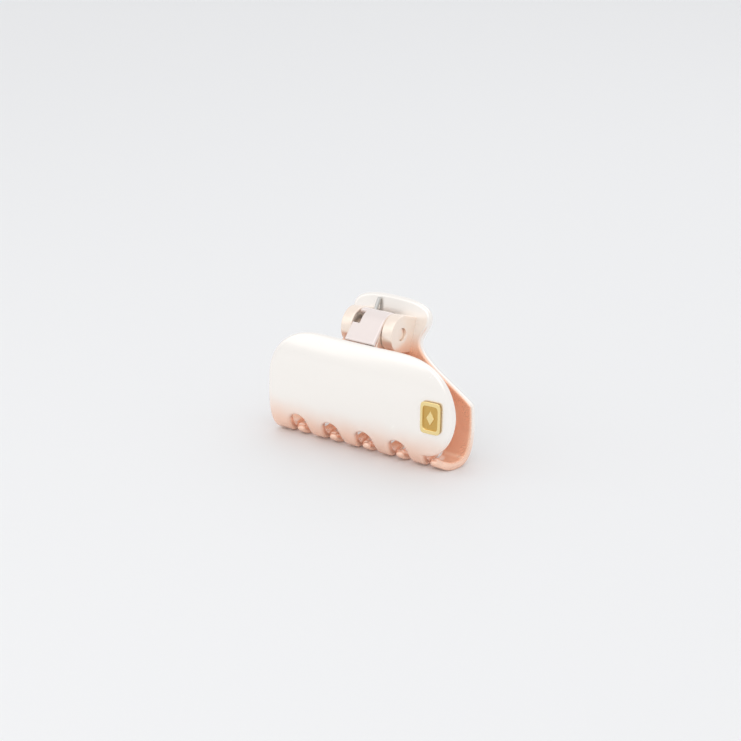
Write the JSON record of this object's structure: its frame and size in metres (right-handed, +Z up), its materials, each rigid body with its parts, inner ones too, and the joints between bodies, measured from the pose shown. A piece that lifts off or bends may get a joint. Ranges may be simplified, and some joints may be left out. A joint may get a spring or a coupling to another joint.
{
  "type": "claw hair clip",
  "caption": "Small claw hair clip: two curved comb jaws with interlocking teeth on a sprung hinge, with a thumb lever on the back jaw.",
  "frame": {"origin": "middle of the bounding box in X and Y, at the flat undersides of the teeth", "axes": "+X along the jaws, +Y from the front jaw to the back jaw, +Z up"},
  "size_m": [0.0526, 0.0189, 0.033],
  "materials": {
    "rose_gold": "satin rose-gold pearl lacquer",
    "spring_steel": "drawn wire",
    "gold": "polished"
  },
  "bodies": {
    "front": {"front_jaw": "rose_gold", "badge": "gold", "torsion_spring": "spring_steel"},
    "back": {"back_jaw": "rose_gold", "hinge_pin": "rose_gold"}
  },
  "joints": [
    {"name": "jaw_hinge", "type": "hinge", "parent": "front", "child": "back", "pos_m": [0, 0.00095, 0.027], "axis": [1, 0, 0], "range_deg": [0, 36], "stiffness_Nm_per_rad": 0.03, "springref_deg": -28.65, "deforming": ["torsion_spring"]}
  ]
}
